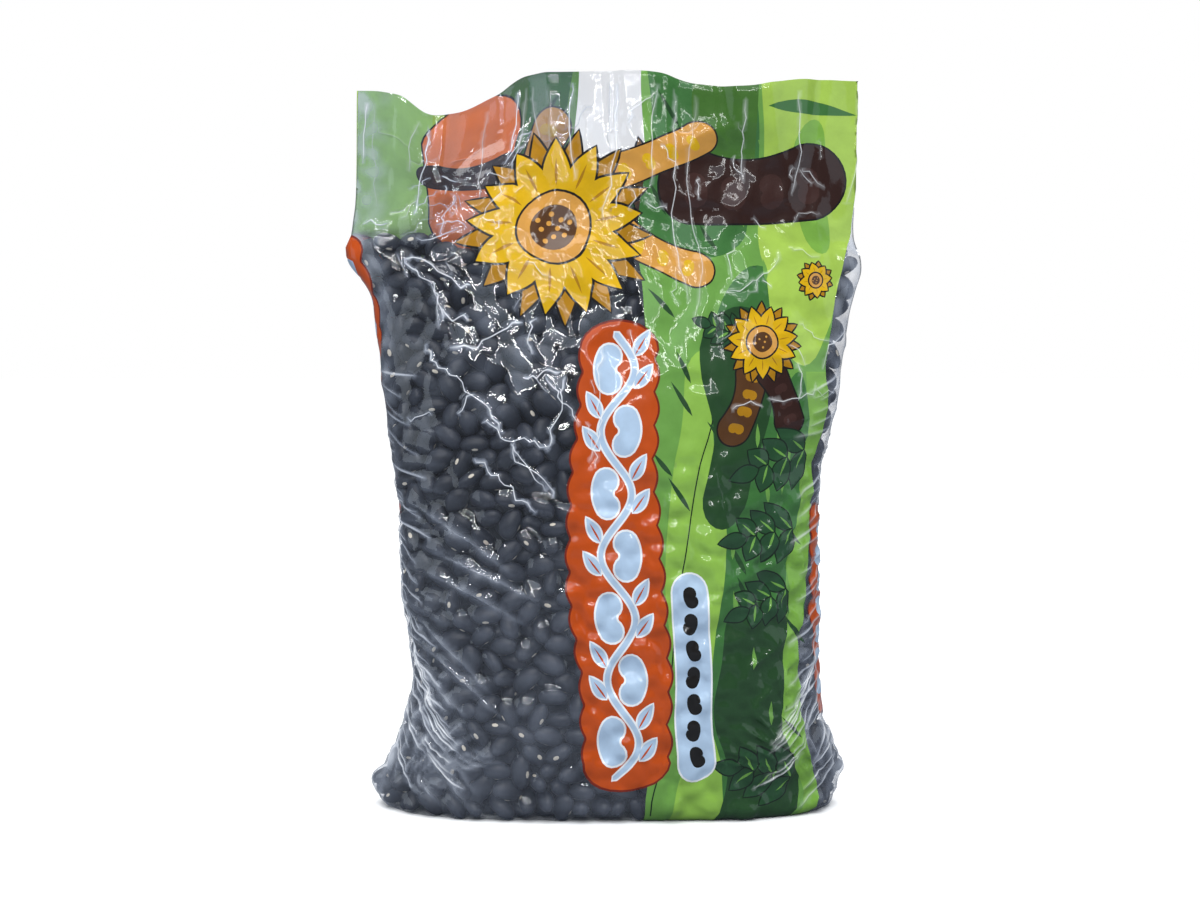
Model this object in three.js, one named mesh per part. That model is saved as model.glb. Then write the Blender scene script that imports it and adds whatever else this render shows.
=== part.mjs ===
// A bag of dried black beans: a clear film pillow bag that stands on its folded-under lower end.
// The beans fill it up to three quarters of its height and press through the film as low bumps.
// Above them the empty head of the bag narrows to a flat welded edge, which stands up in waves.
// Millimetres. X runs across the bag, from its left edge to its right edge as seen from the front,
// Y runs from the front to the back, and Z is up. The origin is the middle of the foot.
import * as THREE from "three";
import { mergeVertices } from "three/addons/utils/BufferGeometryUtils.js";

// Driving dimensions
const BAG_HEIGHT = 252;
const FILL_HEIGHT = 196;
const FOOT_RADIUS = 5;
const WELD_HEIGHT = 6;
const WELD_THICKNESS = 1.4;
const BEAN_PITCH = 9;
const BEAN_BUMP = 0.9;

// Half widths and half depths of the bag, as pairs of height and size
const LEFT_EDGE = [
  [0, 76], [9, 81], [20, 73.5], [34, 68.8], [47, 66.4], [62, 68], [76, 70], [102, 70.8],
  [126, 73.6], [152, 76.8], [174, 79], [184, 83.4], [193, 87], [199, 86.6], [210, 85.2], [252, 83.8],
];
const RIGHT_EDGE = [
  [0, 78], [9, 82.8], [18, 81], [34, 75.2], [48, 74], [90, 73.6], [118, 74], [130, 77],
  [152, 80.6], [170, 82.8], [184, 86.2], [192, 85.6], [200, 84.9], [215, 86], [252, 87],
];
const HALF_DEPTH = [
  [0, 26.5], [12, 27.5], [35, 28], [60, 27.4], [90, 26.2], [120, 24], [145, 21], [165, 17.2],
  [182, 13], [196, 9.4], [212, 6.2], [232, 3], [246, 0.9], [BAG_HEIGHT, WELD_THICKNESS / 2],
];
// How square the section is across the bag, and how blunt its two side edges are
const SQUARENESS = [[0, 3.4], [9, 2.7], [25, 3], [60, 3.2], [120, 3], [170, 2.5], [200, 2.2], [252, 2]];
const BLUNTNESS = [
  [0, 2.2], [9, 1.5], [25, 2.2], [60, 2.6], [120, 2.6], [160, 2.1], [190, 1.45], [215, 1], [252, 1],
];
// The height of the welded top edge along the bag, which dips at its left corner
const TOP_EDGE = [
  [-86, 245], [-70, 243.6], [-60, 237.4], [-50, 238.6], [-38, 245], [-27, 251.6], [-5, 252],
  [16, 251.8], [30, 247.4], [48, 246.2], [68, 249.4], [88, 249.8],
];

// Mesh steps round the bag and up it
const STEPS_ACROSS = 42;
const LEVEL_STEP = 4;
const FOOT_LEVELS = 4;
const SECTION_SAMPLES = 240;
const NORMAL_STEP = 0.4;

const clamp01 = (value) => Math.min(1, Math.max(0, value));
const smooth = (from, to, value) => {
  const t = clamp01((value - from) / (to - from));
  return t * t * (3 - 2 * t);
};
// The same draw from 0 to 1 for the same number each time
const draw = (seed) => {
  const wave = Math.sin(seed * 12.9898 + 4.1414) * 43758.5453;
  return wave - Math.floor(wave);
};

// A smooth line through pairs of place and size
function along(pairs, place) {
  const last = pairs.length - 1;
  if (place <= pairs[0][0]) return pairs[0][1];
  if (place >= pairs[last][0]) return pairs[last][1];
  let i = 0;
  while (place > pairs[i + 1][0]) i += 1;
  const slope = (k) => {
    const low = Math.max(0, k - 1);
    const high = Math.min(last, k + 1);
    return (pairs[high][1] - pairs[low][1]) / (pairs[high][0] - pairs[low][0]);
  };
  const span = pairs[i + 1][0] - pairs[i][0];
  const t = (place - pairs[i][0]) / span;
  const rise = pairs[i + 1][1] - pairs[i][1];
  const a = slope(i) * span - rise;
  const b = rise - slope(i + 1) * span;
  return pairs[i][1] + t * rise + t * (1 - t) * (a * (1 - t) + b * t);
}

// How far the rounded foot draws the wall in at a height
function footInset(height) {
  const share = clamp01(1 - height / FOOT_RADIUS);
  return FOOT_RADIUS * (1 - Math.sqrt(1 - share * share));
}

// The half section at a height, from the left edge to the right, as points at even steps along the film
const sections = new Map();
function halfSection(height) {
  if (sections.has(height)) return sections.get(height);
  const inset = footInset(height);
  const left = along(LEFT_EDGE, height) - inset * 0.6;
  const right = along(RIGHT_EDGE, height) - inset * 0.6;
  const depth = along(HALF_DEPTH, height) - inset;
  const square = along(SQUARENESS, height);
  const blunt = along(BLUNTNESS, height);
  const fine = [];
  let length = 0;
  for (let i = 0; i <= SECTION_SAMPLES; i += 1) {
    const turn = (Math.PI * i) / SECTION_SAMPLES;
    const across = -Math.cos(turn);
    const x = Math.sign(across) * Math.abs(across) ** (2 / square) * (across < 0 ? left : right);
    const y = depth * Math.max(0, Math.sin(turn)) ** (2 / blunt);
    if (i > 0) length += Math.hypot(x - fine[i - 1].x, y - fine[i - 1].y);
    fine.push({ x, y, length });
  }
  sections.set(height, fine);
  return fine;
}

// A point of the half section at a share of the film's way from the left edge to the right
function sectionPoint(height, share) {
  const fine = halfSection(height);
  const target = clamp01(share) * fine[SECTION_SAMPLES].length;
  let low = 0;
  let high = SECTION_SAMPLES;
  while (high - low > 1) {
    const middle = (low + high) >> 1;
    if (fine[middle].length < target) low = middle;
    else high = middle;
  }
  const t = (target - fine[low].length) / (fine[high].length - fine[low].length || 1);
  return {
    x: fine[low].x + t * (fine[high].x - fine[low].x),
    y: fine[low].y + t * (fine[high].y - fine[low].y),
  };
}

// The empty head waves from front to back, most at its welded edge
const headShare = (height) => smooth(FILL_HEIGHT - 14, BAG_HEIGHT, height);
function headWave(x, height) {
  const waves = 5.5 * Math.sin((x + 62) / 21) + 2.6 * Math.sin((x - 9) / 9.5 + height / 40);
  return headShare(height) ** 1.3 * (waves - 2);
}

// Creases: each is a ridge along a straight line on the film, with pointed ends
const creases = [];
function addCrease(side, x, height, angle, length, width, rise) {
  const turn = THREE.MathUtils.degToRad(angle);
  creases.push({ side, x, height, cos: Math.cos(turn), sin: Math.sin(turn), length, width, rise });
}
function addCreaseFans() {
  for (const side of [-1, 1]) {
    // Long slanting folds that fall from the waist towards the middle of the foot
    for (let i = 0; i < 6; i += 1) {
      const [slip, turn, stretch] = [1, 2, 3].map((n) => draw(i * 3 + side * 31 + n) - 0.5);
      const drop = 100 - 15 * i + 9 * slip;
      const length = 44 + 26 * stretch - 2 * i;
      addCrease(side, -64 + 8 * turn, drop, -30 - 5 * i + 22 * turn, length, 2.4, 1.5);
      addCrease(side, 70 + 8 * slip, drop + 5 * turn, 211 + 5 * i + 22 * slip, length, 2.8, 1.4);
    }
    // Steep folds that fan out of the two lower corners
    for (let i = 0; i < 4; i += 1) {
      const turn = draw(i + side * 53) - 0.5;
      addCrease(side, -76 + 3.5 * i, 9 + 2 * i, 74 - 13 * i + 9 * turn, 40 - 3 * i, 2.2, 1.6);
      addCrease(side, 79 - 3.5 * i, 9 + 2 * i, 106 + 13 * i + 9 * turn, 42 - 3 * i, 2.2, 1.6);
    }
  }
}
// Folds that hang from the weld into the head of the bag
const headFolds = [];
function addHeadFolds() {
  for (let i = 0; i < 9; i += 1) {
    const x = -74 + 18.5 * i + 5 * (draw(i + 70) - 0.5);
    headFolds.push({ x, lean: 0.28 * (draw(i + 80) - 0.5), length: 34 + 30 * draw(i + 90), rise: 1.5 - 3 * (i % 2) });
  }
}
addCreaseFans();
addHeadFolds();

function creaseRise(side, x, height) {
  let rise = 0;
  for (const crease of creases) {
    if (crease.side !== side) continue;
    const run = (x - crease.x) * crease.cos + (height - crease.height) * crease.sin;
    const off = (height - crease.height) * crease.cos - (x - crease.x) * crease.sin;
    const share = run / crease.length;
    if (share <= 0 || share >= 1 || Math.abs(off) > 3 * crease.width) continue;
    rise += crease.rise * Math.sin(Math.PI * share) * Math.exp(-((off / crease.width) ** 2));
  }
  return rise;
}

function headFoldRise(x, height) {
  let rise = 0;
  for (const fold of headFolds) {
    const below = along(TOP_EDGE, x) - height;
    const off = x - fold.x - fold.lean * below;
    rise += fold.rise * smooth(fold.length, 0, below) * Math.exp(-((off / 3) ** 2));
  }
  return rise;
}

// Low bumps on a staggered grid, one for each bean that presses on the film
function beanBump(side, x, height) {
  const filled = 1 - smooth(FILL_HEIGHT - 10, FILL_HEIGHT, height);
  if (filled <= 0) return 0;
  const row = Math.round(height / (BEAN_PITCH * 0.87));
  let bump = 0;
  for (let j = row - 1; j <= row + 1; j += 1) {
    const shift = (j % 2) * 0.5;
    const column = Math.round(x / BEAN_PITCH - shift);
    for (let i = column - 1; i <= column + 1; i += 1) {
      const seed = i * 17 + j * 131 + side * 7;
      const beanX = (i + shift + 0.35 * (draw(seed) - 0.5)) * BEAN_PITCH;
      const beanZ = (j + 0.35 * (draw(seed + 0.5) - 0.5)) * BEAN_PITCH * 0.87;
      const away = ((x - beanX) ** 2 + (height - beanZ) ** 2) / (0.3 * BEAN_PITCH ** 2);
      bump = Math.max(bump, 1 - away);
    }
  }
  return BEAN_BUMP * bump * filled;
}

// The bag's smooth wall, before creases and bumps
function wallPoint(side, share, height) {
  const { x, y } = sectionPoint(height, share);
  const halfThickness = Math.max(y, 0);
  const stretch = smooth(FILL_HEIGHT, BAG_HEIGHT, height);
  const top = along(TOP_EDGE, x) - BAG_HEIGHT;
  return new THREE.Vector3(x, side * halfThickness + headWave(x, height), height + stretch * top);
}

function wallNormal(side, share, height) {
  const left = wallPoint(side, share - NORMAL_STEP / 100, height);
  const right = wallPoint(side, share + NORMAL_STEP / 100, height);
  const low = wallPoint(side, share, Math.max(0, height - NORMAL_STEP));
  const high = wallPoint(side, share, Math.min(BAG_HEIGHT, height + NORMAL_STEP));
  return new THREE.Vector3().crossVectors(right.sub(left), high.sub(low)).normalize().multiplyScalar(-side);
}

// A point of the finished bag. The relief of the head moves front and back alike, so that they never cross.
function bagPoint(side, share, height) {
  const point = wallPoint(side, share, height);
  const edge = smooth(0, 0.05, share) * smooth(1, 0.95, share);
  const body = 1 - smooth(FILL_HEIGHT - 12, FILL_HEIGHT + 8, height);
  const off = smooth(0, FOOT_RADIUS + 3, height);
  const { x } = point;
  const relief = (beanBump(side, x, height) + creaseRise(side, x, height)) * edge * body * off;
  point.addScaledVector(wallNormal(side, share, height), relief);
  point.y += headFoldRise(x, height) * smooth(0, 0.04, share) * smooth(1, 0.96, share) * (1 - body);
  return point;
}

// Heights of the mesh's levels: close together at the foot and at the weld
function levels() {
  const found = [0, 1, 2, 3, 4].map((i) => FOOT_RADIUS * (1 - Math.cos((Math.PI * i) / 2 / FOOT_LEVELS)));
  const weldFoot = BAG_HEIGHT - WELD_HEIGHT;
  const count = Math.round((weldFoot - FOOT_RADIUS) / LEVEL_STEP);
  for (let i = 1; i <= count; i += 1) found.push(FOOT_RADIUS + ((weldFoot - FOOT_RADIUS) * i) / count);
  found.push(BAG_HEIGHT);
  return found;
}

// One closed mesh: rings of points joined up the bag, with a flat foot and a thin top
function bagGeometry() {
  const heights = levels();
  const ringSize = 2 * STEPS_ACROSS;
  const positions = [];
  for (const height of heights) {
    for (let i = 0; i < ringSize; i += 1) {
      const front = i <= STEPS_ACROSS;
      const share = front ? i / STEPS_ACROSS : 2 - i / STEPS_ACROSS;
      positions.push(...bagPoint(front ? -1 : 1, share, height).toArray());
    }
  }
  const indices = [];
  for (let level = 0; level < heights.length - 1; level += 1) {
    for (let i = 0; i < ringSize; i += 1) {
      const a = level * ringSize + i;
      const b = level * ringSize + ((i + 1) % ringSize);
      // Neighbouring squares are split along opposite diagonals, so that no fold is favoured
      if ((i + level) % 2) indices.push(a, b, a + ringSize, b, b + ringSize, a + ringSize);
      else indices.push(a, b, b + ringSize, a, b + ringSize, a + ringSize);
    }
  }
  const topRing = (heights.length - 1) * ringSize;
  for (let i = 0; i < STEPS_ACROSS; i += 1) {
    for (const [ring, flip] of [[0, true], [topRing, false]]) {
      const frontA = ring + i;
      const frontB = ring + i + 1;
      const backA = ring + ((ringSize - i) % ringSize);
      const backB = ring + ringSize - i - 1;
      const pair = [[frontA, frontB, backB], [frontA, backB, backA]];
      for (const [p, q, r] of pair) {
        if (p === q || q === r || r === p) continue;
        indices.push(...(flip ? [r, q, p] : [p, q, r]));
      }
    }
  }
  const geometry = new THREE.BufferGeometry();
  geometry.setAttribute("position", new THREE.Float32BufferAttribute(positions, 3));
  geometry.setIndex(indices);
  return geometry;
}

// Black beans seen through glossy film
const beansInFilm = new THREE.MeshStandardMaterial({ color: 0x2a2c36, roughness: 0.25, metalness: 0 });

const bag = new THREE.Mesh(mergeVertices(bagGeometry(), 1e-4), beansInFilm);
bag.name = "bean_bag";

// The bounding box is centred over the origin
bag.geometry.computeBoundingBox();
const middle = bag.geometry.boundingBox.getCenter(new THREE.Vector3());
bag.position.set(-middle.x, -middle.y, 0);
bag.geometry.computeVertexNormals();

const object = new THREE.Group();
object.add(bag);

export default object;
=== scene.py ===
"""A bag of dried black beans in clear printed film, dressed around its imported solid.

The film is one closed sheet, cut along the edges of its printed fields. The beans behind it are real
meshes at their true size, packed against the film, and the film dips into the gaps between them.
Lengths below are millimetres until a mesh is made, and Blender's metres after that.
"""
import math

import bpy
import numpy as np
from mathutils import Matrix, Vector
from mathutils.bvhtree import BVHTree
from mathutils.geometry import delaunay_2d_cdt


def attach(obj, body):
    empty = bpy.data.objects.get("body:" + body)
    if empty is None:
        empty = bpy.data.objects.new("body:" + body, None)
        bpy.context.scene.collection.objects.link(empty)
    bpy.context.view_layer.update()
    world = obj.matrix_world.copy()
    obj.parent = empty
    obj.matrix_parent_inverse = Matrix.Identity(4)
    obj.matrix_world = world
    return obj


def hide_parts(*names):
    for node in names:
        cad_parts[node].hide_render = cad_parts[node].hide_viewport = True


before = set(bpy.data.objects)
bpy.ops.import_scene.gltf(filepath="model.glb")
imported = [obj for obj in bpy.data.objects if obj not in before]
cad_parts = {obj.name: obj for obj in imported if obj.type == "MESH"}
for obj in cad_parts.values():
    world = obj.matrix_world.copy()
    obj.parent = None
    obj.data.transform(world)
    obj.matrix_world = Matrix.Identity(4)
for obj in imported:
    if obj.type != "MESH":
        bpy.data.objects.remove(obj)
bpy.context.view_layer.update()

MM = 0.001

# The bag's form, with the same driving dimensions as its solid
BAG_HEIGHT = 252
FILL_HEIGHT = 196
FOOT_RADIUS = 5
LAY_FLAT_WIDTH = 176
LEFT_EDGE = [
    (0, 76), (9, 81), (20, 73.5), (34, 68.8), (47, 66.4), (62, 68), (76, 70), (102, 70.8),
    (126, 73.6), (152, 76.8), (174, 79), (184, 83.4), (193, 87), (199, 86.6), (210, 85.2), (252, 83.8),
]
RIGHT_EDGE = [
    (0, 78), (9, 82.8), (18, 81), (34, 75.2), (48, 74), (90, 73.6), (118, 74), (130, 77),
    (152, 80.6), (170, 82.8), (184, 86.2), (192, 85.6), (200, 84.9), (215, 86), (252, 87),
]
HALF_DEPTH = [
    (0, 26.5), (12, 27.5), (35, 28), (60, 27.4), (90, 26.2), (120, 24), (145, 21), (165, 17.2),
    (182, 13), (196, 9.4), (212, 6.2), (232, 3), (244, 0.9), (250.6, 0.5), (252, 0),
]
SQUARENESS = [(0, 3.4), (9, 2.7), (25, 3), (60, 3.2), (120, 3), (170, 2.5), (200, 2.2), (252, 2)]
BLUNTNESS = [
    (0, 2.2), (9, 1.5), (25, 2.2), (60, 2.6), (120, 2.6), (160, 2.1), (190, 1.45), (215, 1), (252, 1),
]
TOP_EDGE = [
    (-86, 245), (-70, 243.6), (-60, 237.4), (-50, 238.6), (-38, 245), (-27, 251.6), (-5, 252),
    (16, 251.8), (30, 247.4), (48, 246.2), (68, 249.4), (88, 249.8),
]

# The film's sheet: s runs round the bag from its left edge, by the front, and t runs up it
TUBE = 2 * LAY_FLAT_WIDTH
COLUMNS = 292
SEAM_COLUMN = 168
FOOT_ROWS = 9
ROW_STEP = 1.2
UNDERSIDE_ROWS = 7
SECTION_SAMPLES = 241

# Beans
BEAN_HALF = np.array([5.3, 3.45, 2.7])
BEAN_COUNT = 2500
ON_EDGE = 0.2
BEAN_LAYER = 12.5
SETTLE_STEPS = 70
DEEP_GAP = 4.0
FILM_CLEARANCE = 0.3
CORE_DEPTH = 8.0
SHOWN_DEPTH = 7.0
TAUT_FROM = 100
PRESS_STEPS = 3
PRESS_REACH = 6
PRESSED_UNDER = 0.05
BEAN_SIZES = (0.9, 1.1)
BEAN_TILT = 0.42
BEAN_TURN = 0.75

# Cutting of the sheet
OUTLINE_STEP = 3.1
CLEAR_OF_LINE = 0.4
SAME_POINT = 0.02


def smooth(low, high, value):
    t = np.clip((value - low) / (high - low), 0, 1)
    return t * t * (3 - 2 * t)


def along(pairs, place):
    """A smooth line through pairs of place and size."""
    spots, sizes = np.array(pairs, float).T
    place = np.clip(place, spots[0], spots[-1])
    low = np.clip(np.searchsorted(spots, place) - 1, 0, len(spots) - 2)
    ends = np.arange(len(spots))
    before, after = np.maximum(ends - 1, 0), np.minimum(ends + 1, len(spots) - 1)
    slopes = (sizes[after] - sizes[before]) / (spots[after] - spots[before])
    span = spots[low + 1] - spots[low]
    t = (place - spots[low]) / span
    rise = sizes[low + 1] - sizes[low]
    a = slopes[low] * span - rise
    b = rise - slopes[low + 1] * span
    return sizes[low] + t * rise + t * (1 - t) * (a * (1 - t) + b * t)


def foot_inset(height):
    share = np.clip(1 - height / FOOT_RADIUS, 0, 1)
    return FOOT_RADIUS * (1 - np.sqrt(1 - share**2))


def sheet_rows():
    """For each row of the sheet: its height, its place t on the sheet, and how far under the foot it lies."""
    foot_low = FOOT_RADIUS * (1 - math.pi / 2)
    reach = along(HALF_DEPTH, 0) - FOOT_RADIUS
    under = np.linspace(1, 0, UNDERSIDE_ROWS)[:-1]
    turns = np.linspace(0, math.pi / 2, FOOT_ROWS)
    count = round((BAG_HEIGHT - FOOT_RADIUS) / ROW_STEP)
    upper = np.linspace(FOOT_RADIUS, BAG_HEIGHT, count)[1:]
    heights = np.concatenate([0 * under, FOOT_RADIUS * (1 - np.cos(turns)), upper])
    places = np.concatenate([foot_low - reach * under, foot_low + FOOT_RADIUS * turns, upper])
    return heights, places, np.concatenate([under, 0 * turns, 0 * upper])


def sections(heights, shares):
    """Points of the half section at each height, at shares of the film's way from left to right."""
    turn = np.linspace(0, math.pi, SECTION_SAMPLES)
    inset = foot_inset(heights)[:, None]
    left = along(LEFT_EDGE, heights)[:, None] - 0.6 * inset
    right = along(RIGHT_EDGE, heights)[:, None] - 0.6 * inset
    depth = along(HALF_DEPTH, heights)[:, None] - inset * (heights[:, None] < FOOT_RADIUS)
    across = -np.cos(turn)[None, :]
    fine_x = np.sign(across) * np.abs(across) ** (2 / along(SQUARENESS, heights)[:, None])
    fine_x = fine_x * np.where(across < 0, left, right)
    fine_y = depth * np.clip(np.sin(turn), 0, 1)[None, :] ** (2 / along(BLUNTNESS, heights)[:, None])
    steps = np.hypot(np.diff(fine_x, axis=1), np.diff(fine_y, axis=1))
    length = np.concatenate([np.zeros((len(heights), 1)), np.cumsum(steps, axis=1)], axis=1)
    xs, ys = [], []
    for row in range(len(heights)):
        target = shares * length[row, -1]
        xs.append(np.interp(target, length[row], fine_x[row]))
        ys.append(np.interp(target, length[row], fine_y[row]))
    return np.array(xs), np.array(ys)


def head_wave(x, height):
    waves = 5.5 * np.sin((x + 62) / 21) + 2.6 * np.sin((x - 9) / 9.5 + height / 40)
    return smooth(FILL_HEIGHT - 14, BAG_HEIGHT, height) ** 1.3 * (waves - 2)


def draw(seed):
    """The same draw from 0 to 1 for the same number each time."""
    wave = math.sin(seed * 12.9898 + 4.1414) * 43758.5453
    return wave - math.floor(wave)


def sheet_start():
    """Where the sheet starts and ends round the bag, at its back."""
    return (SEAM_COLUMN - COLUMNS) * TUBE / COLUMNS


class Sheet:
    """The film as a grid of points over s and t, with its normals."""

    def __init__(self):
        heights, self.t, under = sheet_rows()
        self.s = (np.arange(COLUMNS + 1) + SEAM_COLUMN - COLUMNS) * TUBE / COLUMNS
        way = np.mod(self.s, TUBE) / LAY_FLAT_WIDTH
        self.front = way <= 1
        share = np.where(self.front, way, 2 - way)
        x, y = sections(heights, share)
        self.share = np.broadcast_to(share, x.shape)
        self.height = np.broadcast_to(heights[:, None], x.shape)
        self.side = np.where(self.front, -1, 1)[None, :]
        stretch = smooth(FILL_HEIGHT, BAG_HEIGHT, self.height)
        z = self.height + stretch * (along(TOP_EDGE, x) - BAG_HEIGHT)
        self.depth = y * (1 - under[:, None])
        self.points = np.stack([x, self.side * self.depth + head_wave(x, self.height), z], axis=2)

    def normals(self):
        """Outward normals from the grid's own steps. The sheet closes on itself round the bag."""
        inner = self.points[:, :-1]
        round_bag = np.roll(inner, -1, axis=1) - np.roll(inner, 1, axis=1)
        up_bag = np.gradient(inner, axis=0)
        normals = np.cross(round_bag, up_bag)
        normals /= np.maximum(np.linalg.norm(normals, axis=2, keepdims=True), 1e-9)
        return np.concatenate([normals, normals[:, :1]], axis=1)

    def lift(self, rise):
        self.points = self.points + self.normals() * rise[:, :, None]

    def at(self, s, t, field=None):
        """The points, or another field of the nodes, at any places s and t, straight between the nodes."""
        field = self.points if field is None else field
        column = np.clip((s - self.s[0]) * COLUMNS / TUBE, 0, COLUMNS - 1e-6)
        row = np.clip(np.interp(t, self.t, np.arange(len(self.t))), 0, len(self.t) - 1 - 1e-6)
        c, r = column.astype(int), row.astype(int)
        u, v = column - c, row - r
        if field.ndim == 3:
            u, v = u[:, None], v[:, None]
        low = field[r, c] * (1 - u) + field[r, c + 1] * u
        high = field[r + 1, c] * (1 - u) + field[r + 1, c + 1] * u
        return low * (1 - v) + high * v


# Folds and creases of the film

def body_folds():
    """Each fold: side, x, height, angle in degrees, turn along it, length, width and rise of its crest."""
    folds = []
    for side in (-1, 1):
        # Long slanting folds that fall from the waist towards the middle of the foot
        for i in range(9):
            slip, turn, stretch = (draw(i * 3 + side * 31 + n) - 0.5 for n in (1, 2, 3))
            drop = 104 - 11 * i + 7 * slip
            length = 42 + 22 * stretch - 1.5 * i
            folds.append((side, -66 + 7 * turn, drop, -22 - 2.4 * i + 16 * turn, -6, length, 4.2, 1.9))
            angle = 204 + 2.4 * i + 16 * slip
            folds.append((side, 72 + 6 * slip, drop + 5 * turn, angle, 6, length, 4.6, 1.7))
        # Steep folds that fan out of the two lower corners
        for i in range(8):
            turn = draw(i + side * 53) - 0.5
            length, width = 46 - 2.5 * i + 10 * turn, 3.0
            folds.append((side, -76 + 2.2 * i, 6 + i, 82 - 8 * i + 6 * turn, -10, length, width, 2.0))
            folds.append((side, 79 - 2.2 * i, 6 + i, 98 + 8 * i + 6 * turn, 10, length, width, 2.0))
        # Pleats drawn out of the side edges, finer and shorter up the bag
        for i in range(24):
            slip, turn, stretch = (draw(i * 7 + side * 19 + n) - 0.5 for n in (4, 5, 6))
            height = 12 + 6.8 * i + 3 * slip
            length = 24 + 22 * stretch - 0.4 * i
            low = 1 - i / 32
            folds.append((side, -71 - 3 * turn, height, -34 * low + 20 * turn, 8, length, 2.8, 1.2 * low))
            angle = 180 + 34 * low + 20 * slip
            folds.append((side, 76 + 3 * slip, height + 3, angle, -8, length, 2.8, 1.2 * low))
    return folds


def fold_rise(sheet):
    x, height = sheet.points[:, :, 0], sheet.height
    rise = np.zeros_like(x)
    for side, from_x, from_height, angle, bend, length, width, top in body_folds():
        cos, sin = math.cos(math.radians(angle)), math.sin(math.radians(angle))
        share = np.clip(((x - from_x) * cos + (height - from_height) * sin) / length, 0, 1)
        off = (height - from_height) * cos - (x - from_x) * sin
        off = off - length * math.radians(bend) * share**2
        crest = np.clip(1 - np.abs(off) / (width * (0.45 + 0.55 * np.sin(math.pi * share))), 0, 1) ** 1.7
        ridge = top * np.sin(math.pi * share) ** 0.7 * crest
        rise = np.maximum(rise, ridge * (sheet.side == side))
    return rise


def head_fold_shift(sheet):
    """Folds that hang from the weld into the head, which move front and back film alike."""
    x, z = sheet.points[:, :, 0], sheet.points[:, :, 2]
    below = along(TOP_EDGE, x) - z
    shift = np.zeros_like(x)
    for i in range(9):
        place = -74 + 18.5 * i + 5 * (draw(i + 70) - 0.5)
        lean, length = 0.28 * (draw(i + 80) - 0.5), 34 + 30 * draw(i + 90)
        off = x - place - lean * below
        shift += (1.5 - 3 * (i % 2)) * smooth(length, 0, below) * np.exp(-((off / 3) ** 2))
    return shift


def bent_line(s, t, angle, bend, length, steps=14):
    """A line on the sheet that starts at s, t and turns evenly by bend degrees on its way."""
    turns = np.radians(angle + bend * np.linspace(0, 1, steps))
    line = np.cumsum(np.stack([np.cos(turns), np.sin(turns)], axis=1), axis=0) * length / (steps - 1)
    return line - line[0] + (s, t)


def jagged_line(rng, s, t, angle, length, wander, stride=7.0):
    """A line on the sheet that changes its direction every few millimetres."""
    count = max(2, round(length / stride))
    turns = np.radians(angle + rng.uniform(-wander, wander, count))
    reach = stride * rng.uniform(0.6, 1.4, count)
    corners = np.cumsum(np.stack([reach * np.cos(turns), reach * np.sin(turns)], axis=1), axis=0)
    corners = np.concatenate([[(s, t)], corners + (s, t)])
    way = np.linspace(0, count, 3 * count + 1)
    return np.stack([np.interp(way, np.arange(count + 1), corners[:, axis]) for axis in (0, 1)], axis=1)


def edge_creases(rng, shift):
    """Creases that sweep down from the two side edges, steeper and closer to each other at the corners, each
    with a painted highlight along it.
    """
    creases = []
    for i in range(34):
        slip, turn, stretch = rng.uniform(-1, 1, 3)
        t = 150 - 3.9 * i + 2 * slip
        low = i / 34
        angle, length = -24 - 30 * low + 13 * turn, 13 + 13 * low + 8 * stretch
        half_width, glint = 0.5 + 0.25 * stretch, 0.42 + 0.34 * low + 0.2 * turn
        creases.append((bent_line(shift + 2.5 + 3 * low, t, angle, 9, length), half_width, 0.3, glint))
        angle = 204 + 30 * low + 13 * slip
        creases.append((bent_line(shift + 173.5 - 3 * low, t, angle, -9, length), half_width, 0.3, glint))
    for i in range(13):
        slip, turn = rng.uniform(-1, 1, 2)
        s, t, length = 5 + 1.5 * i + 0.6 * turn, 76 - 4.4 * i + 4 * slip, 42 - 2 * i + 5 * turn
        creases.append((bent_line(shift + s, t, -84 + 2.6 * i, 34, length), 0.45, 0.4, 0.75 + 0.3 * slip))
        line = bent_line(shift + LAY_FLAT_WIDTH - s, t, 264 - 2.6 * i, -34, length)
        creases.append((line, 0.45, 0.4, 0.75 + 0.3 * turn))
    return creases


def head_creases(rng, shift):
    """Fine creases with painted highlights along them: long ones that hang from the weld, and short ones over
    the slack film.
    """
    creases = []
    hanging = [(10 + 20 * i + 7 * rng.uniform(-1, 1), rng.uniform(22, 62)) for i in range(9)]
    for s, length in hanging + [(110, 84), (117.5, 80)]:
        line = jagged_line(rng, shift + s, 248.5, 270 + 5 * rng.uniform(-1, 1), length, 16, 4)
        creases.append((line, 0.26, 0.2 * rng.choice((-1, 1)), rng.uniform(0.7, 1.7)))
    for _ in range(66):
        s, t = shift + rng.uniform(10, 166), rng.uniform(134, 242)
        line = jagged_line(rng, s, t, rng.uniform(0, 360), rng.uniform(5, 20), 52, 2.6)
        creases.append((line, 0.25, 0.18 * rng.choice((-1, 1)), rng.uniform(0.3, 1.5)))
    return creases


def painted_sheen_creases(rng):
    """The jagged rim of the stretch of film that shines over the upper beans, drawn as creases with bright
    painted highlights.
    """
    creases = []
    for s, t, angle, length in (
        (18, 188, -16, 26), (19, 189, -62, 30), (24, 160, -50, 42), (44, 133, -22, 32), (56, 128, -60, 26),
        (66, 124, 70, 30), (69, 108, 128, 26), (86, 160, -86, 44), (84, 118, 100, 22), (42, 122, -38, 34),
        (32, 158, 20, 30), (58, 148, 4, 18), (28, 172, -4, 15), (78, 132, 118, 24),
    ):
        line = jagged_line(rng, s, t, angle, length, 46, 2.4)
        creases.append((line, 0.26, 0.2, rng.uniform(1.3, 2)))
    return creases


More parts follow.
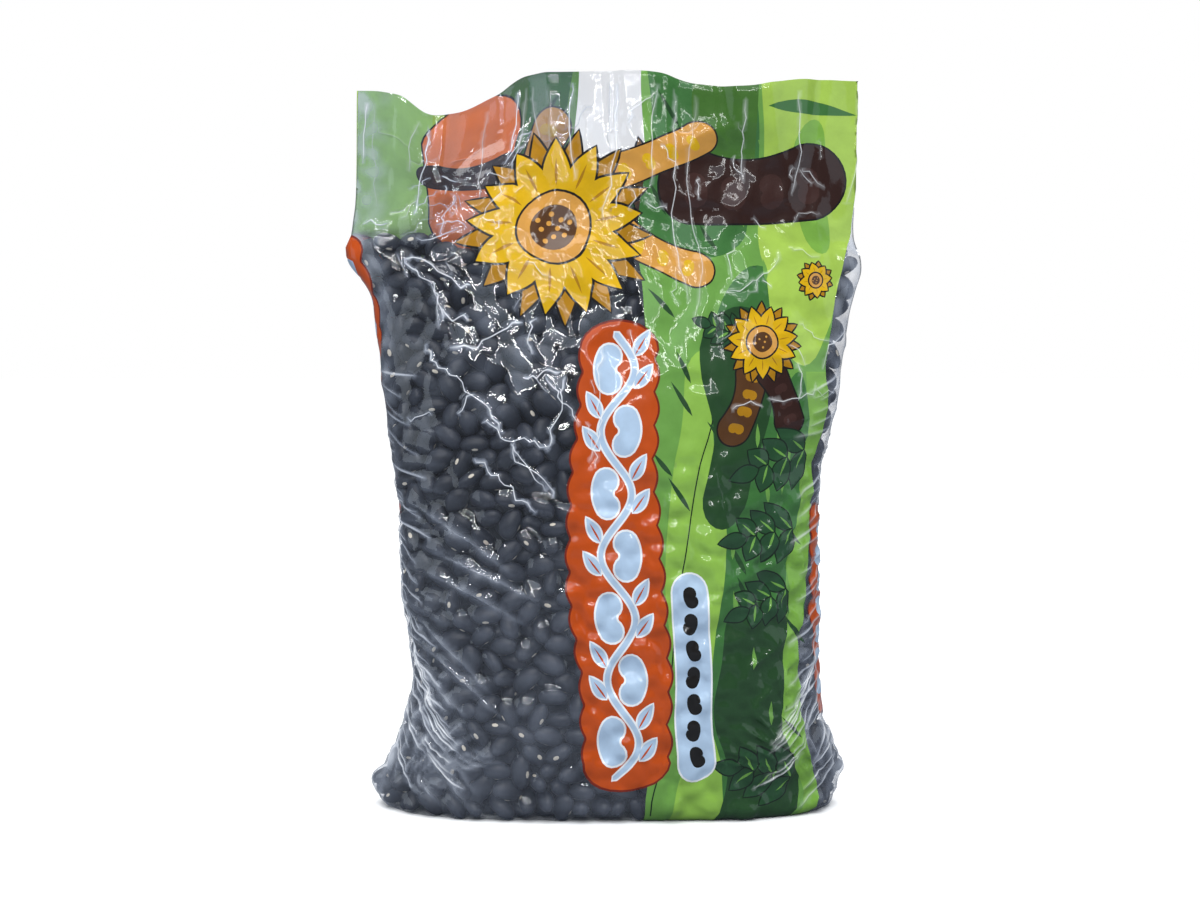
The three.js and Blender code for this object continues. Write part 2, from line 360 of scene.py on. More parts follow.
def sharp_creases():
    """Each sharp crease: its line on the sheet, its half width, its rise and how bright its painted highlight
    is.
    """
    rng = np.random.default_rng(5)
    creases = painted_sheen_creases(rng)
    for shift in (0, -LAY_FLAT_WIDTH):
        creases += edge_creases(rng, shift) + head_creases(rng, shift)
    kept = []
    for line, *rest in creases:
        line = np.where((line[:, :1] < sheet_start()), line + (TUBE, 0), line)
        if np.ptp(line[:, 0]) < 90 and line[:, 1].max() < BAG_HEIGHT - 1 and line[:, 1].min() > 1:
            kept.append((line, *rest))
    return kept


def taper(line):
    """From 0 at a line's ends to 1 along its middle."""
    return np.sin(math.pi * np.linspace(0, 1, len(line))) ** 0.5


def beside(line, by):
    """The line moved sideways, with its ends in place."""
    run = np.gradient(line, axis=0)
    run /= np.maximum(np.linalg.norm(run, axis=1, keepdims=True), 1e-9)
    return line + np.stack([-run[:, 1], run[:, 0]], axis=1) * by * taper(line)[:, None]


def crease_rise(places, creases):
    """How far sharp creases lift each place of the sheet, and how bright a painted highlight they give it
    there.
    """
    rise, glint = np.zeros(len(places)), np.zeros(len(places))
    for line, half_width, top, haze_and_glint in creases:
        low, high = line.min(axis=0) - half_width, line.max(axis=0) + half_width
        near = np.nonzero(((places > low) & (places < high)).all(axis=1))[0]
        start, step = line[:-1], np.diff(line, axis=0)
        gap = places[near][:, None] - start[None]
        part = np.clip((gap * step).sum(axis=2) / (step**2).sum(axis=1), 0, 1)
        away = np.linalg.norm(gap - part[:, :, None] * step, axis=2)
        nearest = away.argmin(axis=1)
        rows = np.arange(len(near))
        share = (nearest + part[rows, nearest]) / len(step)
        shape = np.clip(1 - away[rows, nearest] / half_width, 0, 1) * np.sin(math.pi * share) ** 0.6
        stronger = np.abs(top * shape) > np.abs(rise[near])
        rise[near[stronger]] = (top * shape)[stronger]
        glint[near] = np.maximum(glint[near], haze_and_glint * shape)
    return rise, glint


def ripple(sheet, wavelength, seed, waves=18):
    """A random rolling field over the sheet that meets itself round the bag."""
    rng = np.random.default_rng(seed)
    s, t = np.meshgrid(sheet.s, sheet.t)
    field = np.zeros_like(s)
    for _ in range(waves):
        length = wavelength * rng.uniform(0.7, 1.5)
        turn = rng.uniform(0, math.pi)
        turns_round = round(TUBE * math.cos(turn) / length)
        way = 2 * math.pi * (turns_round * s / TUBE + t * math.sin(turn) / length)
        field += np.cos(way + rng.uniform(0, 7))
    return field * math.sqrt(2 / waves)


def crumple(sheet, wavelength, seed):
    """Flat facets that meet in sharp ridges."""
    warp = ripple(sheet, wavelength * 0.35, seed + 1) * 0.16
    return 0.8 - np.abs(ripple(sheet, wavelength, seed) + warp)


def shape_film(sheet):
    """The bag's folds, before the beans press on it. Gives how far the folds stand up, for the paler film on
    their crests.
    """
    edge = smooth(0, 0.04, sheet.share) * smooth(1, 0.96, sheet.share)
    body = 1 - smooth(FILL_HEIGHT - 12, FILL_HEIGHT + 8, sheet.height)
    off_foot = smooth(1, FOOT_RADIUS + 5, sheet.height)
    loose = smooth(110, 175, sheet.height)
    folds = fold_rise(sheet) * edge * body * off_foot
    sheet.lift(folds)
    slack = 0.9 * crumple(sheet, 46, 3) + 0.45 * crumple(sheet, 22, 5)
    # Front and back film keep clear of each other where the bag is thin
    room = smooth(0.2, 3, sheet.depth)
    sheet.lift(slack * (0.12 + loose) * room * off_foot)
    sheet.points[:, :, 1] += head_fold_shift(sheet) * edge * (1 - body)
    return folds


def film_haze_and_sheen(sheet, folds, contact):
    """How much white haze the film gets: more on the crests of its folds, at its side edges, in the head and
    where it lies on the lower beans, and a painted sheen, a painted reflection, over the upper beans.
    """
    low = 1 - smooth(40, 118, sheet.height)
    edge_way = np.minimum(sheet.share, 1 - sheet.share)
    edges = 1 - smooth(0.01, 0.085, edge_way)
    cloud = np.clip(0.5 + 0.35 * ripple(sheet, 38, 12), 0, 1)
    streaks = np.clip(0.55 + 0.35 * ripple(sheet, 9, 31), 0.15, 1)
    patches = np.clip(0.35 + 0.45 * ripple(sheet, 15, 17), 0, 1)
    crests = np.clip(folds / 1.7, 0, 1) ** 1.6
    head = smooth(FILL_HEIGHT - 4, FILL_HEIGHT + 4, sheet.height)
    s, t = np.meshgrid(sheet.s, sheet.t)
    # A painted sheen: the film over the upper beans is made paler in patches, as a reflection of the light
    painted_sheen = np.exp(-(((s - 54) / 26) ** 2) - ((t - 156) / 24) ** 2) * (1 - head)
    return (
        0.012 + 0.04 * low * (0.3 + cloud) + (0.02 + 0.06 * low) * contact + 0.42 * edges * streaks
        + 0.32 * crests + 0.06 * head * (0.3 + cloud) + 0.16 * painted_sheen * patches**2
    )


# Beans

def wall_tree(sheet):
    """A search tree over the smooth wall, closed at the foot and the weld."""
    step = 3
    rows = list(range(0, len(sheet.t), step))
    if rows[-1] != len(sheet.t) - 1:
        rows.append(len(sheet.t) - 1)
    columns = list(range(0, COLUMNS, step))
    grid = sheet.points[np.ix_(rows, columns)]
    width = len(columns)
    faces = []
    for r in range(len(rows) - 1):
        for c in range(width):
            after = (c + 1) % width
            faces.append((r * width + c, r * width + after, (r + 1) * width + after, (r + 1) * width + c))
    return BVHTree.FromPolygons([Vector(p) for p in grid.reshape(-1, 3)], faces)


def support(axes, halves, direction):
    """How far each ellipsoid reaches along a direction, between its plane and its surface."""
    parts = np.einsum("nij,nj->ni", axes, direction)
    plane = np.sqrt(((parts * halves) ** 2).sum(axis=1))
    surface = 1 / np.sqrt(((parts / halves) ** 2).sum(axis=1))
    return 0.45 * plane + 0.55 * surface


def near_pairs(centres, reach):
    square = (centres**2).sum(axis=1)
    apart = square[:, None] + square[None, :] - 2 * centres @ centres.T
    return np.nonzero(np.triu(apart < reach * reach, 1))


def to_wall(tree, centres):
    """The wall's outward normal nearest each centre, and how deep under it the centre is."""
    normals, depths = np.zeros_like(centres), np.zeros(len(centres))
    for i, centre in enumerate(centres):
        spot, normal, _, _ = tree.find_nearest(Vector(centre))
        normals[i] = normal
        depths[i] = (spot - Vector(centre)).dot(normal)
    return normals, depths


def fill_line(x):
    """The uneven top of the beans along the bag."""
    return FILL_HEIGHT - 1.5 + 2.2 * np.sin(x / 13 + 1) + 1.6 * np.sin(x / 6.1) - 3.5 * smooth(20, 80, x)


def settle_beans(sheet, tree):
    """Beans pushed apart and out against the wall until they lie packed."""
    rng = np.random.default_rng(11)
    s = rng.uniform(sheet.s[0], sheet.s[-1], BEAN_COUNT)
    t = rng.uniform(sheet.t[0], FILL_HEIGHT - 2, BEAN_COUNT)
    size = rng.uniform(*BEAN_SIZES, BEAN_COUNT)[:, None]
    size = size * (1 + rng.uniform(-0.06, 0.06, (BEAN_COUNT, 3)))
    halves = BEAN_HALF * size
    centres = sheet.at(s, t)
    normals, _ = to_wall(tree, centres)
    centres -= normals * rng.uniform(3, BEAN_LAYER, BEAN_COUNT)[:, None]
    # The thin way of a bean mostly faces the film, and its length lies mostly level
    thin = normals + rng.normal(0, BEAN_TILT, centres.shape)
    level = np.cross(normals, (0, 0, 1.0)) + rng.normal(0, BEAN_TURN, centres.shape)
    thin /= np.linalg.norm(thin, axis=1, keepdims=True)
    level -= thin * (level * thin).sum(axis=1, keepdims=True)
    level /= np.linalg.norm(level, axis=1, keepdims=True)
    side = np.cross(thin, level)
    # Some beans stand on edge, with their scar to the film
    on_edge = (rng.uniform(0, 1, BEAN_COUNT) < ON_EDGE)[:, None]
    axes = np.stack([level, np.where(on_edge, thin, side), np.where(on_edge, -side, thin)], axis=1)
    down = np.tile((0, 0, -1.0), (BEAN_COUNT, 1))
    for step in range(SETTLE_STEPS):
        if step % 4 == 0:
            one, two = near_pairs(centres, 2.4 * BEAN_HALF[0])
        gap = centres[two] - centres[one]
        apart = np.maximum(np.linalg.norm(gap, axis=1, keepdims=True), 1e-3)
        gap /= apart
        reach = support(axes[one], halves[one], gap) + support(axes[two], halves[two], gap)
        push = 0.42 * np.maximum(reach - apart[:, 0], 0)[:, None] * gap
        np.add.at(centres, one, -push)
        np.add.at(centres, two, push)
        normals, depths = to_wall(tree, centres)
        proud = np.maximum(support(axes, halves, normals) - depths, 0)
        sunk = np.clip(depths - BEAN_LAYER, 0, 1.5)
        centres -= normals * proud[:, None]
        centres += normals * (0.5 * sunk + 0.06)[:, None] * (proud[:, None] == 0)
        high = np.maximum(centres[:, 2] + 3.2 - fill_line(centres[:, 0]), 0)
        centres[:, 2] -= 0.8 * high
        centres[:, 2] = np.maximum(centres[:, 2], support(axes, halves, down) + 0.5)
    normals, depths = to_wall(tree, centres)
    return centres, axes, halves, depths < SHOWN_DEPTH


def behind_window(centres):
    """Which beans lie behind the clear film, on the front, the back or a side edge."""
    x, y, _ = centres.T
    ahead, behind = (y < 0) & (x < -10), (y > 0) & (x > 10)
    return ahead | behind | (np.abs(x) > 58)


def deselect():
    bpy.ops.object.select_all(action="DESELECT")


def bean_model(segments, rings, with_scar):
    """One bean of unit half sizes, a little kidney shaped, as vertices, faces and each face's material."""
    deselect()
    bpy.ops.mesh.primitive_uv_sphere_add(segments=segments, ring_count=rings, radius=1)
    ball = bpy.context.active_object
    bpy.ops.object.mode_set(mode="EDIT")
    bpy.ops.mesh.select_all(action="SELECT")
    bpy.ops.transform.rotate(value=math.pi / 2, orient_axis="Y", center_override=(0, 0, 0))
    bpy.ops.mesh.quads_convert_to_tris()
    bpy.ops.object.mode_set(mode="OBJECT")
    points = np.array([v.co for v in ball.data.vertices])
    faces = [tuple(p.vertices) for p in ball.data.polygons]
    bpy.data.objects.remove(ball)
    points[:, 0] = np.sign(points[:, 0]) * np.abs(points[:, 0]) ** 0.92
    points[:, 1] += 0.2 * points[:, 0] ** 2 - 0.07
    kinds = [0] * len(faces)
    if with_scar:
        first, sides = len(points), 8
        turns = np.arange(sides) * 2 * math.pi / sides
        rim = np.stack([0.22 * np.cos(turns), np.full(sides, 0.9), 0.23 * np.sin(turns)], axis=1)
        points = np.concatenate([points, rim, [(0, 0.97, 0)]])
        for i in range(sides):
            faces.append((first + i, first + sides, first + (i + 1) % sides))
            kinds.append(1)
    return points, faces, kinds


def mesh_object(name, points, faces, kinds, materials):
    """A piece from vertices in millimetres, shaded smooth."""
    mesh = bpy.data.meshes.new(name)
    mesh.from_pydata((points * MM).tolist(), [], faces)
    for material in materials:
        mesh.materials.append(material)
    mesh.polygons.foreach_set("material_index", np.asarray(kinds, np.int32))
    mesh.polygons.foreach_set("use_smooth", np.ones(len(mesh.polygons), bool))
    mesh.update()
    piece = bpy.data.objects.new(name, mesh)
    bpy.context.scene.collection.objects.link(piece)
    return piece


def place_beans(centres, axes, halves, fine, materials):
    """All the beans as one piece. Those behind clear film are finer than those behind print."""
    rng = np.random.default_rng(23)
    models = {True: bean_model(10, 8, True), False: bean_model(6, 4, False)}
    points, faces, kinds, tones = [], [], [], []
    count = 0
    for i, centre in enumerate(centres):
        model_points, model_faces, model_kinds = models[bool(fine[i])]
        points.append(centre + (model_points * halves[i]) @ axes[i])
        faces.extend(tuple(v + count for v in face) for face in model_faces)
        kinds.extend(model_kinds)
        tones.extend([rng.uniform(0, 1)] * len(model_points))
        count += len(model_points)
    piece = mesh_object("beans", np.concatenate(points), faces, kinds, materials)
    tone = piece.data.attributes.new("tone", "FLOAT", "POINT")
    tone.data.foreach_set("value", tones)
    return piece


def core_piece(sheet, material):
    """A dark core inside the layer of beans: painted shade that stands for the deeper beans and hides what
    lies behind them.
    """
    rows = np.nonzero(sheet.height[:, 0] < FILL_HEIGHT - 12)[0][::4]
    columns = np.arange(0, COLUMNS, 4)
    grid = sheet.points[np.ix_(rows, columns)].copy()
    half_depth = np.maximum(np.abs(grid[:, :, 1]).max(axis=1, keepdims=True), 1)
    half_width = np.abs(grid[:, :, 0]).max(axis=1, keepdims=True)
    grid[:, :, 1] *= np.clip(1 - CORE_DEPTH / half_depth, 0.05, 1)
    grid[:, :, 0] *= 1 - 1.4 * CORE_DEPTH / half_width
    grid[:, :, 2] = np.maximum(grid[:, :, 2], CORE_DEPTH)
    width = len(columns)
    faces = [
        (r * width + c, r * width + (c + 1) % width, (r + 1) * width + (c + 1) % width, (r + 1) * width + c)
        for r in range(len(rows) - 1) for c in range(width)
    ]
    faces.append(tuple(reversed(range(width))))
    faces.append(tuple(range((len(rows) - 1) * width, len(rows) * width)))
    return mesh_object("painted_shade_core", grid.reshape(-1, 3), faces, [0] * len(faces), [material])


def bean_gaps(sheet, beans):
    """How far under the film each node of the sheet finds a bean. Below 0, the bean stands proud of it."""
    tree = BVHTree.FromObject(beans, bpy.context.evaluated_depsgraph_get())
    normals = sheet.normals()
    gaps = np.full(sheet.share.shape, DEEP_GAP)
    above = 3.0
    for r in np.nonzero(sheet.t < FILL_HEIGHT + 6)[0]:
        for c in range(COLUMNS):
            start = sheet.points[r, c] + normals[r, c] * above
            inward = Vector(-normals[r, c])
            spot, _, _, away = tree.ray_cast(Vector(start * MM), inward, (above + DEEP_GAP) * MM)
            if spot is not None:
                gaps[r, c] = away / MM - above
    gaps[:, -1] = gaps[:, 0]
    return gaps


def spread(field, steps, use):
    """The greatest or the mean of each node and its neighbours, some steps round."""
    for _ in range(steps):
        inner = field[:, :-1]
        stack = [inner, np.roll(inner, 1, axis=1), np.roll(inner, -1, axis=1)]
        inner = use(stack, axis=0)
        stack = [inner, np.concatenate([inner[:1], inner[:-1]]), np.concatenate([inner[1:], inner[-1:]])]
        inner = use(stack, axis=0)
        field = np.concatenate([inner, inner[:, :1]], axis=1)
    return field


def hug_beans(sheet, beans):
    """The film dips between the beans that it lies on. Gives how closely it touches one at each node."""
    gaps = bean_gaps(sheet, beans)
    tight = 0.95 - 0.6 * smooth(105, 190, sheet.height)
    filled = 1 - smooth(FILL_HEIGHT - 8, FILL_HEIGHT + 2, sheet.height)
    off_foot = smooth(0, FOOT_RADIUS, sheet.height)
    sag = spread(np.clip(gaps, 0, 1.6), 2, np.mean) * tight * filled * off_foot
    over_beans = spread(np.clip(FILM_CLEARANCE - gaps, -DEEP_GAP, 3), 1, np.max)
    hugging = spread(np.maximum(-sag, over_beans), 1, np.mean)
    # Higher up, the film is drawn taut from bean to bean
    taut = spread(spread(over_beans, 3, np.max), 4, np.mean)
    share = smooth(TAUT_FROM, TAUT_FROM + 40, sheet.height) * filled
    lift = hugging + share * (np.maximum(taut, hugging) - hugging)
    sheet.lift(np.maximum(lift, over_beans))
    return spread(np.clip(1 - gaps / 1.3, 0, 1) * filled, 1, np.mean)


# Print: closed outlines in sheet millimetres, painted in order

def placed(x, y, s, t, turn):
    """An outline turned by some degrees, with its own middle at s, t."""
    c, d = math.cos(math.radians(turn)), math.sin(math.radians(turn))
    return np.stack([s + x * c - y * d, t + x * d + y * c], axis=1)


def disc(s, t, radius, sides=28):
    angles = np.arange(sides) * 2 * math.pi / sides
    return placed(radius * np.cos(angles), radius * np.sin(angles), s, t, 0)


def pill(s_low, s_high, t_low, t_high, sides=12):
    radius = (s_high - s_low) / 2
    middle = (s_low + s_high) / 2
    angles = np.linspace(0, math.pi, sides)
    top = np.stack([middle + radius * np.cos(angles), t_high - radius + radius * np.sin(angles)], axis=1)
    low = np.stack([middle - radius * np.cos(angles), t_low + radius - radius * np.sin(angles)], axis=1)
    return np.concatenate([top, low])


def bean_outline(s, t, length, width, turn, bend, steps=9):
    """A bean from its side: a bowed body with round ends and a waist, hollow towards its own y."""
    bow = math.radians(bend) * np.linspace(-1, 1, steps)
    radius = (length - width) / (2 * math.radians(bend))
    middle = radius * np.stack([np.sin(bow), 1 - np.cos(bow) - 0.3 * (1 - math.cos(bow[0]))], axis=1)
    half = width / 2 * (1 - 0.12 * (1 - np.linspace(-1, 1, steps) ** 2))
    out = np.stack([-np.sin(bow), np.cos(bow)], axis=1) * half[:, None]
    caps = []
    for end, face in ((0, 180), (-1, 0)):
        turns = bow[end] + np.radians(face + np.linspace(-90, 90, steps)[1:-1])
        caps.append(middle[end] + np.stack([np.cos(turns), np.sin(turns)], axis=1) * width / 2)
    x, y = np.concatenate([middle - out, caps[1], (middle + out)[::-1], caps[0]]).T
    return placed(x, y, s, t, turn)


def leaf_outline(s, t, length, width, turn, sides=11):
    """A leaf that starts at s, t and points along its turn."""
    way = np.linspace(0, 1, sides)
    half = width / 2 * np.sin(math.pi * way**0.8)
    x = np.concatenate([way, way[-2:0:-1]]) * length
    y = np.concatenate([half, -half[-2:0:-1]])
    return placed(x, y, s, t, turn)


def stroke(s, t, length, width, turn):
    """A short brush stroke with pointed ends."""
    return leaf_outline(s, t, length, width, turn, 7)


def band(left, right, low, high, step=3.0):
    """A field between two lines that run up the sheet. Each line gives s for t."""
    t = np.append(np.arange(low, high, step), high)
    return np.concatenate([np.stack([right(t), t], axis=1), np.stack([left(t), t], axis=1)[::-1]])


def patch(left, right, low, high, cap=12.0):
    """A field like a band, with rounded ends."""
    rise = cap * (1 - np.cos(np.linspace(0, math.pi / 2, 7)))
    t = np.concatenate([low + rise, np.arange(low + cap + 3, high - cap - 1, 3.0), (high - rise)[::-1]])
    near = np.clip(np.minimum(t - low, high - t) / cap, 0, 1)
    middle, half = (left(t) + right(t)) / 2, (right(t) - left(t)) / 2 * np.sqrt(1 - (1 - near) ** 2)
    sides = np.concatenate([np.stack([middle + half, t], axis=1), np.stack([middle - half, t], axis=1)[::-1]])
    keep = np.linalg.norm(sides - np.roll(sides, 1, axis=0), axis=1) > 0.01
    return sides[keep]


def ribbon(line, width):
    """A ribbon of even width along a line, with pointed ends."""
    run = np.gradient(line, axis=0)
    run /= np.linalg.norm(run, axis=1, keepdims=True)
    out = np.stack([-run[:, 1], run[:, 0]], axis=1) * width / 2
    start, end = line[0] - run[0] * width / 2, line[-1] + run[-1] * width / 2
    return np.concatenate([line - out, [end], (line + out)[::-1], [start]])


def grown(outline, by):
    """The outline moved out all round, for a line drawn round a shape."""
    before, after = np.roll(outline, 1, axis=0), np.roll(outline, -1, axis=0)
    along_it = after - before
    turned = np.stack([along_it[:, 1], -along_it[:, 0]], axis=1)
    turned /= np.maximum(np.linalg.norm(turned, axis=1, keepdims=True), 1e-9)
    x, y = outline[:, 0], outline[:, 1]
    area = (x * np.roll(y, -1) - np.roll(x, -1) * y).sum()
    return outline + turned * by * (1 if area > 0 else -1)


def wavy(s, swing, wavelength, start=0.0, lean=0.0):
    return lambda t: s + swing * np.sin(2 * math.pi * t / wavelength + start) + lean * (t - 120)


def plaque_outline(s, low, high, half_width, lobe=11.0, swell=1.7):
    """A long plaque up the sheet with scalloped sides and round ends."""
    t = np.arange(low + half_width * 0.6, high - half_width * 0.6, 1.0)
    lobes = swell * np.abs(np.sin(math.pi * (t - low) / lobe))
    right = np.stack([s + half_width + lobes - swell + 1.6 * np.sin(t / 31), t], axis=1)
    lobes = swell * np.abs(np.sin(math.pi * (t - low + lobe * 0.4) / lobe))
    left = np.stack([s - half_width - lobes + swell + 2.2 * np.sin(t / 23 + 1), t], axis=1)[::-1]
    angles = np.linspace(0, math.pi, 13)[1:-1]
    cap = half_width * 0.6
    top_middle = (right[-1] + left[0]) / 2
    low_middle = (right[0] + left[-1]) / 2
    top_half = (right[-1, 0] - left[0, 0]) / 2
    low_half = (right[0, 0] - left[-1, 0]) / 2
    across, up = np.cos(angles), cap * np.sin(angles)
    top = np.stack([top_middle[0] + top_half * across, top_middle[1] + up], axis=1)
    low_cap = np.stack([low_middle[0] - low_half * across, low_middle[1] - up], axis=1)
    return np.concatenate([right, top, left, low_cap])


# The right border of the green fields, as pairs of t and s
FIELD_BORDER = [
    (-30, 161), (6, 159), (20, 156), (40, 154.4), (60, 154.8), (80, 158), (100, 161.4), (131, 163.4),
    (158, 164.6), (176, 167), (189, 170), (198, 175), (252, 176.4),
]


def print_field(shift, sheet_low):
    """The green fields of one panel, from its left border to its right."""
    top = BAG_HEIGHT

    def right(t):
        return shift + along(FIELD_BORDER, t) + 0.8 * np.sin(t / 5.1) * (1 - smooth(150, 195, t))

    def inner(t):
        return right(t) - 7 + 1.4 * np.sin(t / 9 + 1)

    def line(s, *waves):
        return wavy(shift + s, *waves)

    left_hill, left_edge = line(138, 2.5, 105, 0.5), line(101.5, 1.6, 60, 2.2)
    yield "light green", band(line(99.5, 1.2, 70, 1.0, 0.004), right, sheet_low, top)
    yield "yellow green", patch(line(110, 2.5, 120, 0.4, 0.02), line(128, 3, 90, 2, 0.03), -20, 158)
    yield "mid green", band(left_edge, left_hill, 232, top)
    yield "mid green", patch(left_edge, left_hill, 188, 240, 10)
    yield "field green", band(line(118, 1.5, 44, 1), line(139.5, 0.4, 130, 0.3), 205, top)
    yield "mid green", patch(line(125, 3.5, 105, 2.2, 0.01), line(148, 2.5, 80, 0.5), -20, 186, 16)
    yield "dark green", patch(line(121, 3, 60, 1), line(140, 5, 130, 0.3), 98, 172, 14)
    yield "dark green", patch(line(124, 2, 50), line(150, 2, 66, 1), -20, 74, 14)
    yield "lime", patch(line(143, 2.2, 74, 1.2), right, 152, 226, 20)
    yield "lime", band(line(141, 1.2, 74, 1.2), right, 208, top)
    yield "mid green", patch(line(150, 1.8, 40, 1), line(157, 1.5, 55), 66, 150)
    yield "pale lime", band(inner, right, sheet_low, 150)
    yield "pale lime", patch(line(154, 2, 60), line(167, 3, 80), 190, 238, 16)
    yield "mid green", leaf_outline(shift + 143, 244, 33, 5, -7)
    way = np.linspace(0, 1, 24)
    yield "outline green", ribbon(np.stack([shift + 102 + 21 * way**1.4, 2 + 132 * way], axis=1), 0.45)
    for i in range(22):
        t = 4 + 10.9 * i + 4 * draw(i + 330)
        s = shift + (134 if t < 94 else 108) + 10 * draw(i + 300) + 13 * (i % 3 == 2)
        yield "dark green", stroke(s, t, 10 + 4 * draw(i + 360), 1.7, 112 + 22 * draw(i + 390))
    for i in range(12):
        s = shift + 128 + 16 * draw(i + 400)
        yield "light green", stroke(s, 14 + 18.5 * i, 8, 1.5, 84 + 12 * draw(i + 430))


def sprig(s, t, turn, size):
    """Leaves in pairs along a stalk."""
    c, d = math.cos(math.radians(turn)), math.sin(math.radians(turn))
    for i in range(3):
        start = 0.32 * i * size
        spot = (s + start * c, t + start * d)
        for side in (-1, 1):
            leaf = leaf_outline(*spot, size * (0.62 - 0.1 * i), size * 0.3, turn + side * 52)
            yield "outline green", grown(leaf, 0.45)
            yield "leaf green", leaf
            yield "light green", stroke(*spot, size * 0.3, 0.8, turn + side * 52)
    tip = leaf_outline(s + 0.8 * size * c, t + 0.8 * size * d, size * 0.5, size * 0.24, turn)
    yield "outline green", grown(tip, 0.45)
    yield "leaf green", tip


def petal_ring(s, t, radius, petals, turn, slimness, ink, line):
    """A ring of pointed petals, each with its outline and a vein."""
    rays = [math.radians(360 * i / petals + turn) for i in range(petals)]
    spots = [(s + 0.3 * radius * math.cos(ray), t + 0.3 * radius * math.sin(ray), ray) for ray in rays]
    width = slimness / petals * radius
    outlines = [leaf_outline(x, y, 0.72 * radius, width, math.degrees(ray)) for x, y, ray in spots]
    for petal in outlines:
        yield "black", grown(petal, line)
    for petal in outlines:
        yield ink, petal
    for x, y, ray in spots:
        vein = (x + 0.18 * radius * math.cos(ray), y + 0.18 * radius * math.sin(ray))
        yield "gold", stroke(*vein, 0.32 * radius, 0.035 * radius, math.degrees(ray))


def blossom(s, t, radius, petals, ink, heart, line):
    yield from petal_ring(s, t, 1.06 * radius, petals, 9 + 180 / petals, 3.1, "gold", line)
    yield from petal_ring(s, t, 0.95 * radius, petals, 9, 4.4, ink, line)
    yield "black", disc(s, t, 0.4 * radius + line)
    yield heart, disc(s, t, 0.4 * radius, 36)
    yield "brown", disc(s, t, 0.26 * radius, 24)
    seeds = max(5, round(radius / 3))
    for i in range(seeds):
        away = 0.2 * radius * math.sqrt((i + 0.5) / seeds)
        yield heart, disc(s + away * math.cos(2.4 * i), t + away * math.sin(2.4 * i), 0.03 * radius, 8)


def pod(s, t, length, width, turn, ink, line, shine):
    """A bean pod with its seeds showing as soft swellings along it."""
    outer = bean_outline(s, t, length, width, turn, 13, 17)
    yield "black", grown(outer, line)
    yield ink, outer
    c, d = math.cos(math.radians(turn)), math.sin(math.radians(turn))
    for i in range(4):
        x = length * (0.2 * i - 0.3)
        y = 0.07 * length * ((2 * x / length) ** 2 - 0.3)
        spot = (s + x * c - y * d, t + x * d + y * c)
        yield shine, bean_outline(*spot, width * 0.5, width * 0.3, turn + 96, 24, 7)


def small_motif(s, t):
    """A small blossom over two crossed pods."""
    yield from pod(s - 6, t - 20, 30, 11, 72, "brown", 0.55, "gold")
    yield from pod(s + 7, t - 18, 27, 10, 112, "dark brown", 0.55, "soft brown")
    yield from sprig(s - 8, t + 2, 160, 13)
    yield from blossom(s, t, 12.5, 11, "yellow", "tan", 0.6)


def front_motif(shift):
    """A blossom with bean pods, over the window and the green fields."""
    yield from sprig(shift + 96, 196, 150, 26)
    yield from pod(shift + 139, 213, 66, 27, 2, "dark brown", 0.7, "soft brown")
    yield from pod(shift + 106, 224, 44, 12, 28, "tan", 0.6, "yellow")
    yield from pod(shift + 104, 191, 42, 12, -30, "tan", 0.6, "yellow")
    yield from blossom(shift + 71, 199, 31, 13, "yellow", "tan", 0.8)


def back_motif(shift):
    """The back has the same things in another arrangement, over a plainer field."""
    # The soft green field and the coral pod are inks set lighter than their print, as painted light
    yield "soft green", band(wavy(shift + 149, 1, 40), wavy(shift + 176, 0, 40), 190, BAG_HEIGHT)
    yield from pod(shift + 136, 222, 64, 34, 84, "coral", 0.6, "coral")
    yield from pod(shift + 137, 222, 36, 12, 4, "dark brown", 0.5, "soft brown")
    yield from pod(shift + 112, 222, 38, 13, 104, "tan", 0.6, "yellow")
    yield from blossom(shift + 71, 199, 29, 13, "yellow", "tan", 0.8)


def vine(s, low, high, reach, turns):
    """A stem that sways up its field, with a bean in the hollow of each turn and leaves across from it."""
    pitch = (high - low) / turns
    t = np.arange(low - 2, high + 2, 1.5)
    stem = np.stack([s + reach * np.sin(math.pi * (t - low) / pitch), t], axis=1)
    shapes = [(ribbon(stem, 0.3 * reach), 0.6)]
    veins = []
    for i in range(turns):
        way = (-1) ** i
        middle = low + pitch * (i + 0.5)
        bean = bean_outline(s - 0.72 * reach * way, middle, 0.82 * pitch, 1.4 * reach, 90, -38 * way)
        shapes.append((bean, 0.7))
        for rise, lean in ((-0.3, 38), (0.22, 30)):
            spot = (s + 1.02 * reach * way, middle + rise * pitch)
            turn = 90 - lean * way
            shapes.append((leaf_outline(*spot, 0.46 * pitch, 0.72 * reach, turn), 0.6))
            veins.append(stroke(*spot, 0.36 * pitch, 0.12 * reach, turn))
    for outline, line in shapes:
        yield "white", grown(outline, line)
    for outline, _ in shapes:
        yield "pale blue", outline
    for vein in veins:
        yield "orange", vein


def bean_row(s, low, high, width, beans, ink):
    """A row of beans up the sheet that lean to one side and the other."""
    pitch = (high - low) / beans
    for i in range(beans):
        way = (-1) ** i
        yield ink, bean_outline(s, low + pitch * (i + 0.5), pitch * 0.84, width, 90 + 14 * way, -36 * way)


def plaque(s, low, high, half_width):
    """A scalloped plaque."""
    outline = plaque_outline(s, low, high, half_width)
    yield "deep red", grown(outline, 0.7)
    yield "orange", outline


def bean_pill(s_low, s_high, low, high, beans):
    """A pale pill with a row of black beans up it."""
    yield "white", pill(s_low, s_high, low, high)
    yield "pale blue", pill(s_low + 0.6, s_high - 0.6, low + 0.6, high - 0.6)
    yield from bean_row((s_low + s_high) / 2, low + 4, high - 4, 4.6, beans, "black")


